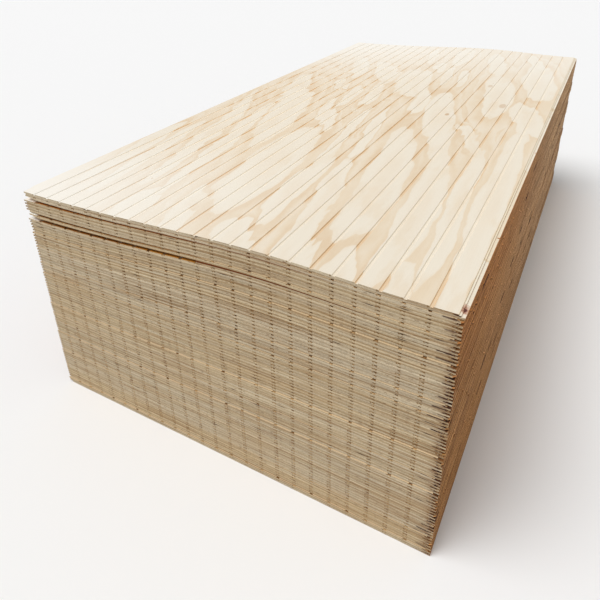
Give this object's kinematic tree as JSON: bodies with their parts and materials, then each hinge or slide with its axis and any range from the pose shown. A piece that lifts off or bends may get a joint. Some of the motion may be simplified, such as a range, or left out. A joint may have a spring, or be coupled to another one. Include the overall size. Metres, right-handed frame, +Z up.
{
  "type": "stack of grooved plywood sheets",
  "caption": "Rectangular stack of pine plywood panels with grooved faces and ship-lap long edges, the upper sheets bowed and standing open at the left.",
  "frame": {"origin": "middle of the underside of the bottom sheet, on the floor", "axes": "+Z up through the stack, +Y along the sheets from their front ends to their back ends, +X across to the edge with the lower lips"},
  "size_m": [1.2238, 2.4451, 0.7169],
  "materials": {
    "pine_plywood": "bare sanded pine veneer, uncoated sawn edges"
  },
  "bodies": {
    "root": {"lift_01": "pine_plywood", "lift_02": "pine_plywood", "lift_03": "pine_plywood", "lift_04": "pine_plywood", "lift_05": "pine_plywood", "lift_06": "pine_plywood", "lift_07": "pine_plywood", "lift_08": "pine_plywood", "lift_09": "pine_plywood", "lift_10": "pine_plywood", "lift_11": "pine_plywood", "lift_12": "pine_plywood", "lift_13": "pine_plywood", "lift_14": "pine_plywood", "broken_sheet": "pine_plywood", "raised_sheets": "pine_plywood", "second_sheet": "pine_plywood", "top_sheet": "pine_plywood"}
  },
  "joints": []
}
